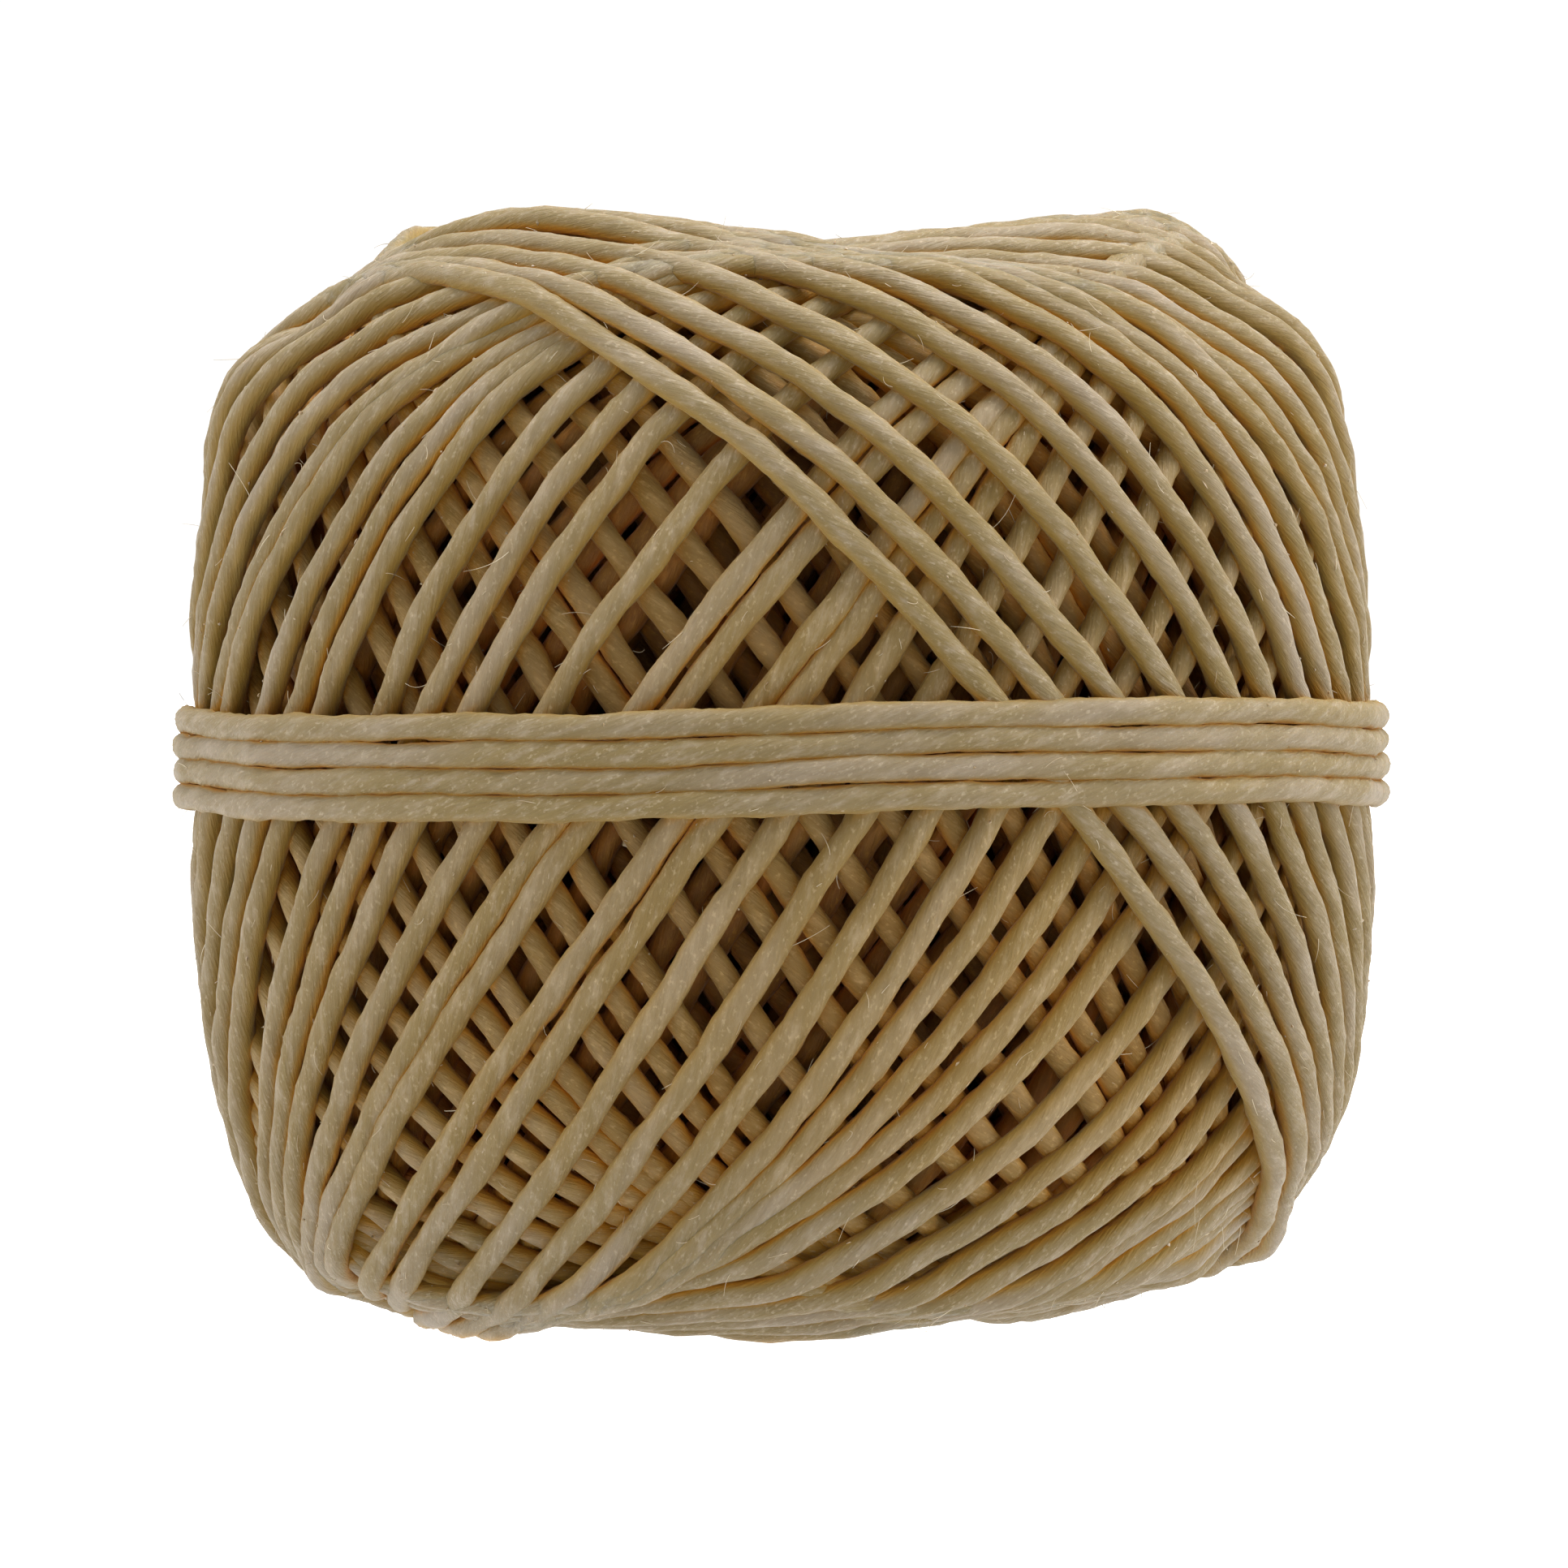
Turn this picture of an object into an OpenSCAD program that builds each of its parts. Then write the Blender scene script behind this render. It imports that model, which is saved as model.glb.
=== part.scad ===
// A machine-wound ball of waxed thread on a paper core tube, all sizes in millimetres.
// One thread, laid round and round over the tube at a steep slant, makes the barrel-shaped
// ball with a dished hollow at each end. Its last four turns are tied flat round the waist,
// and its end is tucked under them at the back and hangs down a little way.
// The frame has +Z up along the winding axis and its origin at the centre of the base.

/* [Thread] */
// Diameter of the waxed thread
thread_d = 1.0; // [0.8:0.05:1.2]
// Number of turns tied round the waist
tie_turns = 4; // [3:5]
// How far the middle of the tied band sits above the ball's mid-height
tie_rise = 0.7; // [0:0.1:2]

/* [Wound ball] */
// Radius of the ball at its waist
ball_r = 23.4; // [22:0.1:25]
// Height of the ball from the lower crest to the upper crest
ball_h = 44.6; // [42:0.1:47]
// Radius of the crest, the circle round each end where the outline is highest
crest_r = 14.4; // [13:0.1:16]
// Width of the flat ring along each crest that the ball stands on
crest_land = 2.0; // [1.6:0.1:3]
// How far the shoulder keeps the crest's gentle slope outwards before it turns down
shoulder_run = 2.6; // [1:0.1:5]
// Drop of the shoulder over that run
shoulder_drop = 1.9; // [0.5:0.1:3]
// Height above mid-height up to which the side stays nearly upright
side_rise = 18.2; // [14:0.1:20]
// Depth of the dish at each end, from the crest down to the foot of the slope on the tube
dish_depth = 5.6; // [5:0.1:7]

/* [Core tube] */
// Outer diameter of the paper tube that the thread is wound on
tube_d = 12; // [10:0.5:14]
// Wall thickness of the paper tube
tube_wall = 1.0; // [0.8:0.1:1.5]
// How far each end of the tube lies below the crest of the ball
tube_recess = 4.2; // [3.5:0.1:4.8]

/* [Hidden] */
TIE_NAMES = [for (i = [1 : tie_turns]) str("tie_turn_", i)];

half_h = ball_h / 2;
tie_z = half_h + tie_rise;
groove_r = ball_r - thread_d / 2;
groove_h = tie_turns * thread_d;
outline_steps = 28;
round_faces = 128;
strand_faces = 32;
// How far a cutting shape runs past the solid that it cuts
past = 1;

// Where the tucked end runs, as [x, y, z] from the middle of the ball, down its back
tail_route = [
    [-0.8, 23.2, -1.8],
    [-0.9, 23.4, -3.2],
    [-0.6, 23.4, -5.0],
    [0.2, 23.3, -7.0],
    [1.4, 23.1, -9.0],
    [2.8, 22.8, -10.8],
    [4.4, 22.3, -12.2],
    [6.0, 21.7, -13.2]
];
tail_sides = 8;

// Half of the ball's outline, one smooth curve from the land's outer edge to the waist
land_in = crest_r - crest_land / 2;
land_out = crest_r + crest_land / 2;
curve_ends = [[land_out, half_h], [ball_r, 0]];
curve_pulls = [[land_out + shoulder_run, half_h - shoulder_drop], [ball_r, side_rise]];
function outline(t) =
    pow(1 - t, 3) * curve_ends[0] + 3 * t * pow(1 - t, 2) * curve_pulls[0]
    + 3 * t * t * (1 - t) * curve_pulls[1] + pow(t, 3) * curve_ends[1];

// Half of the ball's section, from the tube up the dish, over the crest and down to the waist
upper_half = concat(
    [[tube_d / 2, 0], [tube_d / 2, half_h - dish_depth], [land_in, half_h]],
    [for (i = [0 : outline_steps]) outline(i / outline_steps)]
);

// Rings of a swept tube: a ring of points square to the route at each of its points
function unit(v) = v / norm(v);
function heading(route, i) =
    unit(route[min(i + 1, len(route) - 1)] - route[max(i - 1, 0)]);
function side_way(d) = unit(cross(d, [1, 0, 0]));
function ring(centre, d, r, sides) =
    [for (k = [0 : sides - 1])
        centre + r * (cos(360 * k / sides) * side_way(d)
                      + sin(360 * k / sides) * cross(d, side_way(d)))];

module swept_tube(route, d, sides) {
    n = len(route);
    points = [for (i = [0 : n - 1]) each ring(route[i], heading(route, i), d / 2, sides)];
    walls = [for (i = [0 : n - 2], k = [0 : sides - 1])
        [i * sides + k, i * sides + (k + 1) % sides,
         (i + 1) * sides + (k + 1) % sides, (i + 1) * sides + k]];
    first_cap = [[for (k = [0 : sides - 1]) sides - 1 - k]];
    last_cap = [[for (k = [0 : sides - 1]) (n - 1) * sides + k]];
    polyhedron(points, concat(walls, first_cap, last_cap), convexity = 4);
}

// Paper tube, open right through
module core_tube() {
    color("tan")
    translate([0, 0, tube_recess])
    difference() {
        cylinder(h = ball_h - 2 * tube_recess, d = tube_d, $fn = round_faces);
        translate([0, 0, -past])
        cylinder(h = ball_h - 2 * tube_recess + 2 * past, d = tube_d - 2 * tube_wall,
                 $fn = round_faces);
    }
}

// The wound ball, with the shallow channel that the tied turns press into its waist
module wound_thread() {
    color("darkkhaki")
    difference() {
        translate([0, 0, half_h])
        union() {
            rotate_extrude($fn = round_faces) polygon(upper_half);
            mirror([0, 0, 1]) rotate_extrude($fn = round_faces) polygon(upper_half);
        }
        translate([0, 0, tie_z - groove_h / 2])
        difference() {
            cylinder(h = groove_h, r = ball_r + past, $fn = round_faces);
            translate([0, 0, -past])
            cylinder(h = groove_h + 2 * past, r = groove_r, $fn = round_faces);
        }
    }
}

// One turn of the tie, counted from the top of the band
module tie_turn(i) {
    color("khaki")
    translate([0, 0, tie_z + groove_h / 2 - (i - 0.5) * thread_d])
    rotate_extrude($fn = round_faces)
    translate([groove_r + thread_d / 2, 0])
    circle(d = thread_d, $fn = strand_faces);
}

// The tucked end of the thread, where it comes out under the tie
module thread_tail() {
    color("khaki")
    translate([0, 0, half_h])
    swept_tube(tail_route, thread_d, tail_sides);
}

core_tube();
wound_thread();
for (i = [1 : tie_turns]) tie_turn(i);
thread_tail();
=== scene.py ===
"""Looks of a machine-wound ball of waxed thread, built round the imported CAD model.

The thread is made as the real one is: one length, laid turn by turn over the core tube. Each turn
is a slanted loop, pulled tight over the turns that are already there, and the slant's high point
moves a little round the ball from one turn to the next. Winding is worked out in millimetres from
the middle of the ball, and becomes metres in the CAD model's frame when a mesh is made.
"""
import math

import bpy
import numpy as np
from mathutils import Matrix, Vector


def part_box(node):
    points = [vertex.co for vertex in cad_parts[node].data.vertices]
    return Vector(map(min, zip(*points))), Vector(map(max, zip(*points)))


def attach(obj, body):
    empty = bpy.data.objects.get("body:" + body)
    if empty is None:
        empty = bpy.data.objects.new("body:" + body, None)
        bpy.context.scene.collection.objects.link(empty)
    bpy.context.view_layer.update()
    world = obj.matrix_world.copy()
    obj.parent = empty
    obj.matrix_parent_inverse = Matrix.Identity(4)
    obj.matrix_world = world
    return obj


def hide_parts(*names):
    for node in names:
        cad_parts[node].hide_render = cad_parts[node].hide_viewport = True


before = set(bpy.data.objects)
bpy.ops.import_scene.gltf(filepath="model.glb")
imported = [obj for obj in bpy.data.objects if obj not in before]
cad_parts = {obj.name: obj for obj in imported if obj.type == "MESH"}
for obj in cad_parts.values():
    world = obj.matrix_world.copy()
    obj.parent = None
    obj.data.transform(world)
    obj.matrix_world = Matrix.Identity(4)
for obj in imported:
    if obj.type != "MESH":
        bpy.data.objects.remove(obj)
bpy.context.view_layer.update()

# ---------------------------------------------------------------- sizes, from the CAD model
MM = 0.001
BALL_BOX = [np.array(corner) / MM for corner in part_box("wound_thread")]
TUBE_BOX = [np.array(corner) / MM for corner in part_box("core_tube")]
TIE_BOXES = [
    [np.array(corner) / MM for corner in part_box(f"tie_turn_{turn}")] for turn in (1, 2, 3, 4)
]
MIDDLE = (BALL_BOX[0] + BALL_BOX[1]) / 2
THREAD_D = TIE_BOXES[0][1][2] - TIE_BOXES[0][0][2]
THREAD_R = THREAD_D / 2
FULL_TURN = 2 * math.pi
BALL_R = BALL_BOX[1][0]
HALF_H = (BALL_BOX[1][2] - BALL_BOX[0][2]) / 2
TUBE_R = TUBE_BOX[1][0]
TIE_R = TIE_BOXES[0][1][0] - THREAD_R
TIE_Z = [(low[2] + high[2]) / 2 - MIDDLE[2] for low, high in TIE_BOXES]


def to_frame(points):
    """Points in millimetres from the ball's middle, as metres in the CAD model's frame."""
    return (np.asarray(points) + MIDDLE) * MM


# ---------------------------------------------------------------- camera, light and floor
VIEW_WIDTH = 0.0615
CAMERA_DISTANCE = 0.45
CAMERA_ELEVATION = math.radians(0.6)
SENSOR = 36.0
AIM = Vector((0.0001, 0.0, MIDDLE[2] * MM - 0.0004))   # the ball sits a little off the middle


def make_camera():
    """A long lens at the photograph's angle: level with the ball's middle, a touch above."""
    data = bpy.data.cameras.new("camera")
    data.sensor_width = SENSOR
    data.lens = SENSOR * CAMERA_DISTANCE / VIEW_WIDTH
    data.clip_start = 0.01
    data.clip_end = 20.0
    camera = bpy.data.objects.new("camera", data)
    bpy.context.collection.objects.link(camera)
    back = Vector((0.0, -math.cos(CAMERA_ELEVATION), math.sin(CAMERA_ELEVATION)))
    camera.location = AIM + back * CAMERA_DISTANCE
    camera.rotation_euler = (-back).to_track_quat("-Z", "Y").to_euler()
    bpy.context.scene.camera = camera


def make_light(name, place, size, power):
    """A soft square light that faces the ball."""
    data = bpy.data.lights.new(name, "AREA")
    data.shape = "SQUARE"
    data.size = size
    data.energy = power
    light = bpy.data.objects.new(name, data)
    bpy.context.collection.objects.link(light)
    light.location = place
    aim = Vector((0.0, 0.0, MIDDLE[2] * MM)) - light.location
    light.rotation_euler = aim.to_track_quat("-Z", "Y").to_euler()


WORLD_STRENGTH = 1.05
FLOOR_R = 8.0
FLOOR_WHITE = 0.15          # the floor scatters this share of the light on it
FLOOR_GLOW = 1.65           # and glows evenly, as a light table does
LIGHTS = (                  # (name, place, size, power)
    ("overhead", (0.10, 0.0, 0.75), 0.6, 12.5),
    ("left", (-0.80, -0.10, 0.30), 0.5, 4.0),
    ("right", (0.80, -0.10, 0.30), 0.5, 6.0),
)


def make_studio():
    """White surroundings, a pale glowing floor and three soft lights."""
    world = bpy.data.worlds.new("studio")
    world.use_nodes = True
    background = world.node_tree.nodes["Background"]
    background.inputs["Color"].default_value = (1.0, 1.0, 1.0, 1.0)
    background.inputs["Strength"].default_value = WORLD_STRENGTH
    bpy.context.scene.world = world
    for name, place, size, power in LIGHTS:
        make_light(name, place, size, power)
    bpy.ops.mesh.primitive_circle_add(vertices=64, radius=FLOOR_R, fill_type="NGON")
    floor = bpy.context.object
    floor.name = "floor"
    paint = bpy.data.materials.new("floor_white")
    paint.use_nodes = True
    shader = paint.node_tree.nodes["Principled BSDF"]
    shader.inputs["Base Color"].default_value = (FLOOR_WHITE, FLOOR_WHITE, FLOOR_WHITE, 1.0)
    shader.inputs["Roughness"].default_value = 0.9
    shader.inputs["Specular IOR Level"].default_value = 0.0
    shader.inputs["Emission Color"].default_value = (1.0, 1.0, 1.0, 1.0)
    shader.inputs["Emission Strength"].default_value = FLOOR_GLOW
    floor.data.materials.append(paint)
    bpy.context.scene.view_settings.view_transform = "Standard"


# ---------------------------------------------------------------- winding
SAMPLES = 360               # points along one turn
MAP_STEP = math.radians(0.5)
MAP_POLE_GAP = math.radians(12.0)
MAP_AZIMUTHS = 720
MAP_POLARS = 313
CROSSING_GAP = 0.86 * THREAD_D   # between the middles of two turns that press on each other
SIDE_REACH = 0.40 * THREAD_D     # how far beside a turn the next one still has to climb it

TURNS = 350
TURN_STEP = 6.44            # degrees that a turn's high point moves on from the last one's
STEP_JITTER = 1.1
SLANT_JITTER = 0.35
SLIPS = (-1.3, 0.0, 1.3)    # degrees that a turn may slip sideways to lie lower
LAST_AZIMUTH = -66.0        # high point of the last turn, from the front towards the right
FIRST_CREST_Z = 17.2        # height of the first turns' high points on the tube
CREST_R = 14.4              # distance of the last turns' high points from the axis
MAY_SINK = 0.55             # how far a turn may lie below the outline of the growing ball
MAY_RISE = 0.30             # how far it may lie above it
CREST_RISE = 1.6            # how much more the last turns may rise where they bunch at the ends
LOOSE_TURNS = 60            # how many turns those are
LOOSE_START = 10            # how many turns it takes before they may rise that far
BUNCHED_FROM = 0.62         # sine of the angle above the waist where turns begin to bunch
BUNCHED_OVER = 0.16
STIFFNESS = 1.3             # how many samples wide thread's stiffness rounds a bend
JOIN_SAMPLES = 14           # over how many samples a turn's height takes over from the last one's
CREST_DROP = 1.8            # the outline's crests are this much lower, as turns pile up on them
WAIST_SPARE = 0.80          # the outline is this much wider than the ball, as turns sink in it
SHOULDER_RUN = 3.0          # the outline's handle at the crest: how far it runs out
SHOULDER_DROP = 2.4         # and how far it drops
FLATTER_FIRST = 1.0         # how many degrees flatter than the crest's own slant turns are at first
FLATTER_LATER = 2.2         # and how many more at the end
SWINGS = (                  # of the slant: (degrees at first, more by the end, rate a turn, phase)
    (0.6, 3.2, 0.61, 0.0),
    (0.4, 1.0, 0.173, 1.0),
)
SIDE_RISE = 1.12            # share of the crest's height up to which the side is nearly upright


def directions(polar, azimuth):
    """Unit vectors. Azimuth 0 is the front and grows to the right; polar 0 is straight up."""
    polar, azimuth = np.broadcast_arrays(polar, azimuth)
    flat = np.sin(polar)
    return np.stack((flat * np.sin(azimuth), -flat * np.cos(azimuth), np.cos(polar)), axis=-1)


class Package:
    """The wound thread so far, as the lowest radius that a new turn can have in each direction."""

    def __init__(self):
        polar = MAP_POLE_GAP + MAP_STEP * np.arange(MAP_POLARS)
        azimuth = MAP_STEP * np.arange(MAP_AZIMUTHS)
        self.dirs = directions(polar[:, None], azimuth[None, :]).reshape(-1, 3)
        self.radius = np.repeat((TUBE_R + THREAD_R) / np.sin(polar), MAP_AZIMUTHS)

    def cell(self, unit):
        row = (np.arccos(np.clip(unit[:, 2], -1, 1)) - MAP_POLE_GAP) / MAP_STEP
        column = np.arctan2(unit[:, 0], -unit[:, 1]) / MAP_STEP
        return row, column

    def lowest(self, unit):
        """The map read between its cells."""
        row, column = self.cell(unit)
        row0 = np.clip(np.floor(row).astype(int), 0, MAP_POLARS - 2)
        col0 = np.floor(column).astype(int)
        part_r = np.clip(row - row0, 0, 1)
        part_c = column - col0

        def read(r, c):
            return self.radius[r * MAP_AZIMUTHS + c % MAP_AZIMUTHS]

        upper = (1 - part_c) * read(row0, col0) + part_c * read(row0, col0 + 1)
        under = (1 - part_c) * read(row0 + 1, col0) + part_c * read(row0 + 1, col0 + 1)
        return (1 - part_r) * upper + part_r * under

    def lay(self, points):
        """Adds a turn: raises the map along it by the gap that a turn across it needs."""
        radius = np.linalg.norm(points, axis=1)
        row, column = self.cell(points / radius[:, None])
        reach = np.arcsin(SIDE_REACH / radius) / MAP_STEP
        flat = np.maximum(np.hypot(points[:, 0], points[:, 1]) / radius, 0.2)
        rows = int(math.ceil(reach.max()))
        columns = int(math.ceil((reach / flat).max()))
        dr, dc = np.meshgrid(np.arange(-rows, rows + 1), np.arange(-columns, columns + 1))
        near_r = np.rint(row).astype(int)[:, None] + dr.ravel()[None, :]
        near_c = (np.rint(column).astype(int)[:, None] + dc.ravel()[None, :]) % MAP_AZIMUTHS
        inside = (near_r >= 0) & (near_r < MAP_POLARS)
        near = np.where(inside, near_r * MAP_AZIMUTHS + near_c, 0)
        along = np.einsum("mkc,mc->mk", self.dirs[near], points)
        beside = (radius[:, None] ** 2 - along ** 2) / SIDE_REACH ** 2
        inside &= (beside < 1) & (along > 0)
        height = along[inside] + CROSSING_GAP * np.sqrt(1 - beside[inside])
        np.maximum.at(self.radius, near[inside], height)


def pulled_tight(radius):
    """Radii of a string pulled tight round the closed outline radius(angle), at the same angles."""
    count = len(radius)
    step = FULL_TURN / count
    start = int(np.argmax(radius))
    order = (start + np.arange(count + 1)) % count
    x = (radius * np.cos(step * np.arange(count)))[order].tolist()
    y = (radius * np.sin(step * np.arange(count)))[order].tolist()
    kept = []
    for i in range(count + 1):
        while len(kept) > 1:
            j = kept[-1]
            k = kept[-2]
            if (x[j] - x[k]) * (y[i] - y[k]) > (y[j] - y[k]) * (x[i] - x[k]):
                break
            kept.pop()
        kept.append(i)
    kept = np.array(kept)
    at = np.arange(count)
    leg = np.searchsorted(kept, at, side="right") - 1
    first = kept[leg]
    last = kept[np.minimum(leg + 1, len(kept) - 1)]
    ordered = radius[order]
    nearness = np.sin((last - at) * step) / ordered[first]
    nearness += np.sin((at - first) * step) / ordered[last]
    tight = np.empty(count)
    tight[order[:count]] = np.sin((last - first) * step) / nearness
    return tight


def smoothed(values, width):
    """A closed ring of values, smoothed over about that many of them."""
    count = len(values)
    wave = np.fft.rfftfreq(count) * FULL_TURN
    return np.fft.irfft(np.fft.rfft(values) * np.exp(-0.5 * (wave * width) ** 2), count)


def smooth_step(value):
    value = np.clip(value, 0, 1)
    return value * value * (3 - 2 * value)


FIRST_R = TUBE_R + THREAD_R          # distance of the first turns from the axis
LAST_R = BALL_R - THREAD_R + WAIST_SPARE
CREST_GROWTH = 0.8          # power of progress with which the crest moves outwards
BULGE_GROWTH = 0.7          # and with which the shoulder forms


def crest_radius(progress):
    return FIRST_R + progress ** CREST_GROWTH * (CREST_R - FIRST_R)


def outline_at(progress):
    """The growing ball's outline when that share of it is wound: polar angles and radii."""
    waist = math.sqrt(FIRST_R ** 2 + progress * (LAST_R ** 2 - FIRST_R ** 2))
    crest_r = crest_radius(progress)
    crest_z = FIRST_CREST_Z + progress * (HALF_H - THREAD_R - CREST_DROP - FIRST_CREST_Z)
    bulge = progress ** BULGE_GROWTH
    ends = np.array([[crest_r, crest_z], [waist, 0.0]])
    shoulder = [crest_r + SHOULDER_RUN * bulge, crest_z - SHOULDER_DROP * bulge]
    pulls = np.array([shoulder, [waist, SIDE_RISE * crest_z]])
    t = np.linspace(0, 1, 41)[:, None]
    line = (1 - t) ** 3 * ends[0] + 3 * t * (1 - t) ** 2 * pulls[0]
    line = line + 3 * t * t * (1 - t) * pulls[1] + t ** 3 * ends[1]
    polar = np.arctan2(line[:, 0], line[:, 1])
    inside = np.linspace(0.15, polar[0], 12, endpoint=False)
    radii = np.concatenate((crest_z / np.cos(inside), np.hypot(line[:, 0], line[:, 1])))
    return np.concatenate((inside, polar)), radii


SADDLE_TURN = math.radians(10)
SADDLE = 0.034              # share by which the top dips front and back
SADDLE_SINK = 0.55          # and how much of that it sinks all round
LEAN = 0.018                # share by which the bottom is higher to the right
WORN_TOP = 0.065            # how much rounder the ball is at its upper left corner
WORN_BOTTOM = 0.035         # and at its lower left one
ENDS_FROM = 0.45            # sine of the angle above the waist where the ends begin
ENDS_OVER = 0.35
CORNERS_AT = 0.75           # and where the corners are
CORNER_SPREAD = 0.07


def crest_shape(unit, progress):
    """The real ball isn't quite round: its top dips front and back, its bottom leans, and its
    left-hand corners are rounder than the others."""
    azimuth = np.arctan2(unit[:, 0], -unit[:, 1])
    from_waist = np.abs(unit[:, 2])
    near = smooth_step((from_waist - ENDS_FROM) / ENDS_OVER)
    leftward = ((1 - np.sin(azimuth)) / 2) ** 3
    corner = np.exp(-((from_waist - CORNERS_AT) / CORNER_SPREAD) ** 2) * leftward
    dips = SADDLE_SINK + np.cos(2 * (azimuth - SADDLE_TURN))
    top = near * -SADDLE * dips - WORN_TOP * corner
    bottom = near * -LEAN * (1 + np.sin(azimuth - SADDLE_TURN)) - WORN_BOTTOM * corner
    return 1 + progress * np.where(unit[:, 2] > 0, top, bottom)


SETTLING = (                # (azimuth, its spread, angle from straight up, its spread, share moved)
    (12, 24, 36, 12, -0.016),
    (168, 24, 36, 12, -0.020),
    (-35, 26, 34, 12, 0.014),
    (-140, 28, 34, 12, 0.018),
    (90, 45, 42, 5, -0.030),
    (90, 45, 53, 6, 0.016),
    (-90, 40, 45, 5, -0.036),
    (-90, 45, 56, 6, 0.016),
    (-90, 40, 134, 6, 0.022),
    (80, 45, 146, 9, -0.030),
)


def settled(points):
    """Points of the winding after the ball has been handled, which has pressed parts of it in a
    little and let others stand out."""
    radius = np.linalg.norm(points, axis=1)
    azimuth = np.degrees(np.arctan2(points[:, 0], -points[:, 1]))
    from_top = np.degrees(np.arccos(points[:, 2] / radius))
    share = np.ones(len(points))
    for middle, spread, tilt, tilt_spread, moved in SETTLING:
        beside = (azimuth - middle + 180) % 360 - 180
        nearness = (beside / spread) ** 2 + ((from_top - tilt) / tilt_spread) ** 2
        share = share + moved * np.exp(-nearness)
    return points * share[:, None]


def outline(unit, progress):
    """Distance of the growing ball's surface from its middle, in each direction."""
    polar, radii = outline_at(progress)
    from_pole = np.arccos(np.clip(np.abs(unit[:, 2]), 0, 1))
    return np.interp(from_pole, polar, radii) * crest_shape(unit, progress)


def slant(turn):
    """Slant of a turn in degrees: steep on the tube, less so later, and never quite steady."""
    progress = turn / TURNS
    crest_z = FIRST_CREST_Z + progress * (HALF_H - THREAD_R - FIRST_CREST_Z)
    tilt = math.degrees(math.atan2(crest_z, crest_radius(progress)))
    tilt = tilt - FLATTER_FIRST - FLATTER_LATER * progress
    for first, more, rate, phase in SWINGS:
        tilt = tilt + (first + more * progress) * math.sin(rate * turn + phase)
    return tilt


def turn_directions(azimuths, slants):
    """Directions along one turn, from where it crosses the waist going up, through its high
    point, down the side after it and round the low point."""
    azimuth = np.radians(np.linspace(*azimuths, SAMPLES, endpoint=False))
    tilt = np.radians(np.linspace(*slants, SAMPLES, endpoint=False))
    along = math.radians(-90) + FULL_TURN * np.arange(SAMPLES) / SAMPLES
    high = directions(math.pi / 2 - tilt, azimuth)
    level = directions(np.full(SAMPLES, math.pi / 2), azimuth + math.pi / 2)
    return np.cos(along)[:, None] * high + np.sin(along)[:, None] * level


def wind():
    """The whole winding, one row of points for each turn. Each turn slips a little to whichever
    side lets it lie lower, and stays near the outline of the growing ball."""
    chance = np.random.default_rng(3)
    package = Package()
    planned = LAST_AZIMUTH + TURN_STEP * (TURNS - 1 - np.arange(-1, TURNS))
    planned = planned + chance.normal(0, STEP_JITTER, TURNS + 1)
    azimuth = planned[0]
    tilt = slant(0)
    join = 1 - smooth_step(np.arange(SAMPLES) / JOIN_SAMPLES)
    turns = []
    for turn in range(TURNS):
        next_tilt = slant(turn) + chance.normal(0, SLANT_JITTER)
        choices = []
        for slip in SLIPS:
            next_azimuth = planned[turn + 1] + slip
            unit = turn_directions((azimuth, next_azimuth), (tilt, next_tilt))
            tight = pulled_tight(package.lowest(unit))
            choices.append((tight.mean(), next_azimuth, unit, tight))
        _, azimuth, unit, tight = min(choices, key=lambda choice: choice[0])
        tilt = next_tilt
        wanted = outline(unit, (turn + 1) / TURNS)
        bunched = smooth_step((np.abs(unit[:, 2]) - BUNCHED_FROM) / BUNCHED_OVER)
        loose = smooth_step((turn - TURNS + LOOSE_TURNS) / LOOSE_START)
        rise = MAY_RISE + CREST_RISE * bunched * loose
        radius = smoothed(wanted + np.clip(tight - wanted, -MAY_SINK, rise), STIFFNESS)
        if turns:
            radius = radius + (np.linalg.norm(turns[-1][-1]) - radius[0]) * join
        points = radius[:, None] * unit
        package.lay(points)
        turns.append(points)
    return np.array(turns)


# ---------------------------------------------------------------- lines that thread follows
SWAY = 0.055                # how far real thread wanders sideways from its course
SWAY_WAVES = (6.3, 9.7, 15.1, 27.0)
HEAVE = 0.04                # and up and down from it
HEAVE_WAVES = (5.1, 8.3, 19.0)


def unit_rows(vectors):
    return vectors / np.linalg.norm(vectors, axis=1)[:, None]


def run_length(points):
    """Distance along a line of points, at each of them."""
    return np.concatenate(([0.0], np.cumsum(np.linalg.norm(np.diff(points, axis=0), axis=1))))


def respaced(points, spacing):
    """The same line with its points about that far apart."""
    length = run_length(points)
    count = max(8, int(round(length[-1] / spacing)) + 1)
    at = np.linspace(0, length[-1], count)
    return np.stack([np.interp(at, length, points[:, axis]) for axis in range(3)], axis=1)


def axes_along(line):
    """Unit vectors at each point of a line: onwards, away from the ball's middle, and sideways."""
    heading = unit_rows(np.gradient(line, axis=0))
    outward = unit_rows(line)
    outward = unit_rows(outward - np.sum(outward * heading, axis=1)[:, None] * heading)
    return heading, outward, np.cross(heading, outward)


def waver(at, lengths, seed):
    """A smooth wandering value round 0, of size about 1, from waves of those lengths."""
    phases = np.random.default_rng(seed).uniform(0, FULL_TURN, len(lengths))
    waves = [np.sin(FULL_TURN * at / wave + phase) for wave, phase in zip(lengths, phases)]
    return np.sum(waves, axis=0) / math.sqrt(len(lengths))


def swayed(line, start_at):
    """The same line, wandering a little off its course. start_at is the length before it."""
    along = start_at + run_length(line)
    _, outward, sideways = axes_along(line)
    side = SWAY * waver(along, SWAY_WAVES, 41)
    height = HEAVE * waver(along, HEAVE_WAVES, 42)
    return line + side[:, None] * sideways + height[:, None] * outward


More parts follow.
